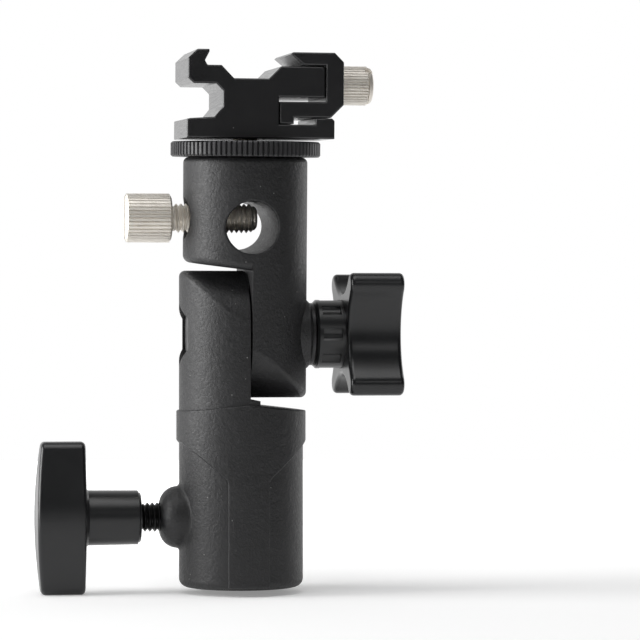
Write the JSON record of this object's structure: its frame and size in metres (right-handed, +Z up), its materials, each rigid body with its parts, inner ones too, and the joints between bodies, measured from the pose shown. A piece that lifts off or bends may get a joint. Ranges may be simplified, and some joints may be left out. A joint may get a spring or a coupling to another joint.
{
  "type": "umbrella swivel bracket",
  "caption": "Tilting light stand bracket with a stand socket, an umbrella shaft hole with lock screw and a clamping cold shoe.",
  "frame": {"origin": "centre of the stand socket's mouth, on the socket's axis", "axes": "+Z up along the stand socket, +X along the pivot bolt towards the star knob, the umbrella shaft runs along Y"},
  "size_m": [0.0738, 0.0307, 0.1109],
  "materials": {
    "casting": "matte black powder coat with a fine grain",
    "anodised": "satin black anodised",
    "knob_plastic": "smooth satin black moulded plastic",
    "nickel": "bright nickel plate",
    "black_steel": "blackened steel",
    "brass_bush": "turned brass",
    "fibre": "dark fibre"
  },
  "bodies": {
    "base": {"lower_body": "casting", "handle_boss_insert": "brass_bush", "pivot_bolt": "black_steel", "pivot_friction_washer": "fibre"},
    "head": {"swivel_head": "casting", "umbrella_screw_insert": "nickel", "stud_insert": "brass_bush", "mounting_stud": "nickel"},
    "umbrella_screw": {"umbrella_lock_screw": "nickel"},
    "wheel": {"lock_wheel": "anodised"},
    "shoe": {"shoe_body": "anodised"},
    "jaw": {"shoe_jaw": "anodised"},
    "shoe_screw": {"shoe_clamp_screw": "nickel"},
    "washer": {"knob_washer": "black_steel"},
    "knob": {"star_knob": "knob_plastic", "star_knob_insert": "brass_bush"},
    "pad": {"clamp_pad": "fibre"},
    "handle": {"handle_knob": "knob_plastic", "handle_stud": "black_steel"}
  },
  "joints": [
    {"name": "head_tilt", "type": "hinge", "parent": "base", "child": "head", "pos_m": [0, 0, 0.0516], "axis": [1, 0, 0], "range_deg": [-92.5, 87.5]},
    {"name": "umbrella_screw_travel", "type": "slide", "parent": "head", "child": "umbrella_screw", "axis": [-1, 0, 0], "range_m": [-0.0002, 0.0074]},
    {"name": "lock_wheel_spin", "type": "hinge", "parent": "head", "child": "wheel", "pos_m": [0.0007, -0.00165, 0.08936], "axis": [0, -0.0436, 0.999], "continuous": true},
    {"name": "shoe_swivel", "type": "hinge", "parent": "head", "child": "shoe", "pos_m": [0.0007, -0.00174, 0.09141], "axis": [0, -0.0436, 0.999], "continuous": true},
    {"name": "jaw_slide", "type": "slide", "parent": "shoe", "child": "jaw", "axis": [1, 0, 0], "range_m": [0, 0.0039]},
    {"name": "shoe_screw_turn", "type": "hinge", "parent": "jaw", "child": "shoe_screw", "pos_m": [0.0007, -0.00223, 0.1026], "axis": [-1, 0, 0], "range_deg": [0, 2016]},
    {"name": "washer_slide", "type": "slide", "parent": "base", "child": "washer", "axis": [1, 0, 0], "range_m": [0, 0.001]},
    {"name": "star_knob_turn", "type": "hinge", "parent": "washer", "child": "knob", "pos_m": [0, 0, 0.0516], "axis": [-1, 0, 0], "range_deg": [0, 365]},
    {"name": "pad_slide", "type": "slide", "parent": "base", "child": "pad", "axis": [-1, 0, 0], "range_m": [-0.002, 0.0005]},
    {"name": "handle_turn", "type": "hinge", "parent": "pad", "child": "handle", "pos_m": [0, 0, 0.0143], "axis": [1, 0, 0], "range_deg": [-725, 185]}
  ],
  "couplings": [
    {"joint": "shoe_screw_turn", "follows": "jaw_slide", "rad_per_m": 8976},
    {"joint": "star_knob_turn", "follows": "washer_slide", "rad_per_m": 6283.2},
    {"joint": "handle_turn", "follows": "pad_slide", "rad_per_m": 6283.2}
  ]
}
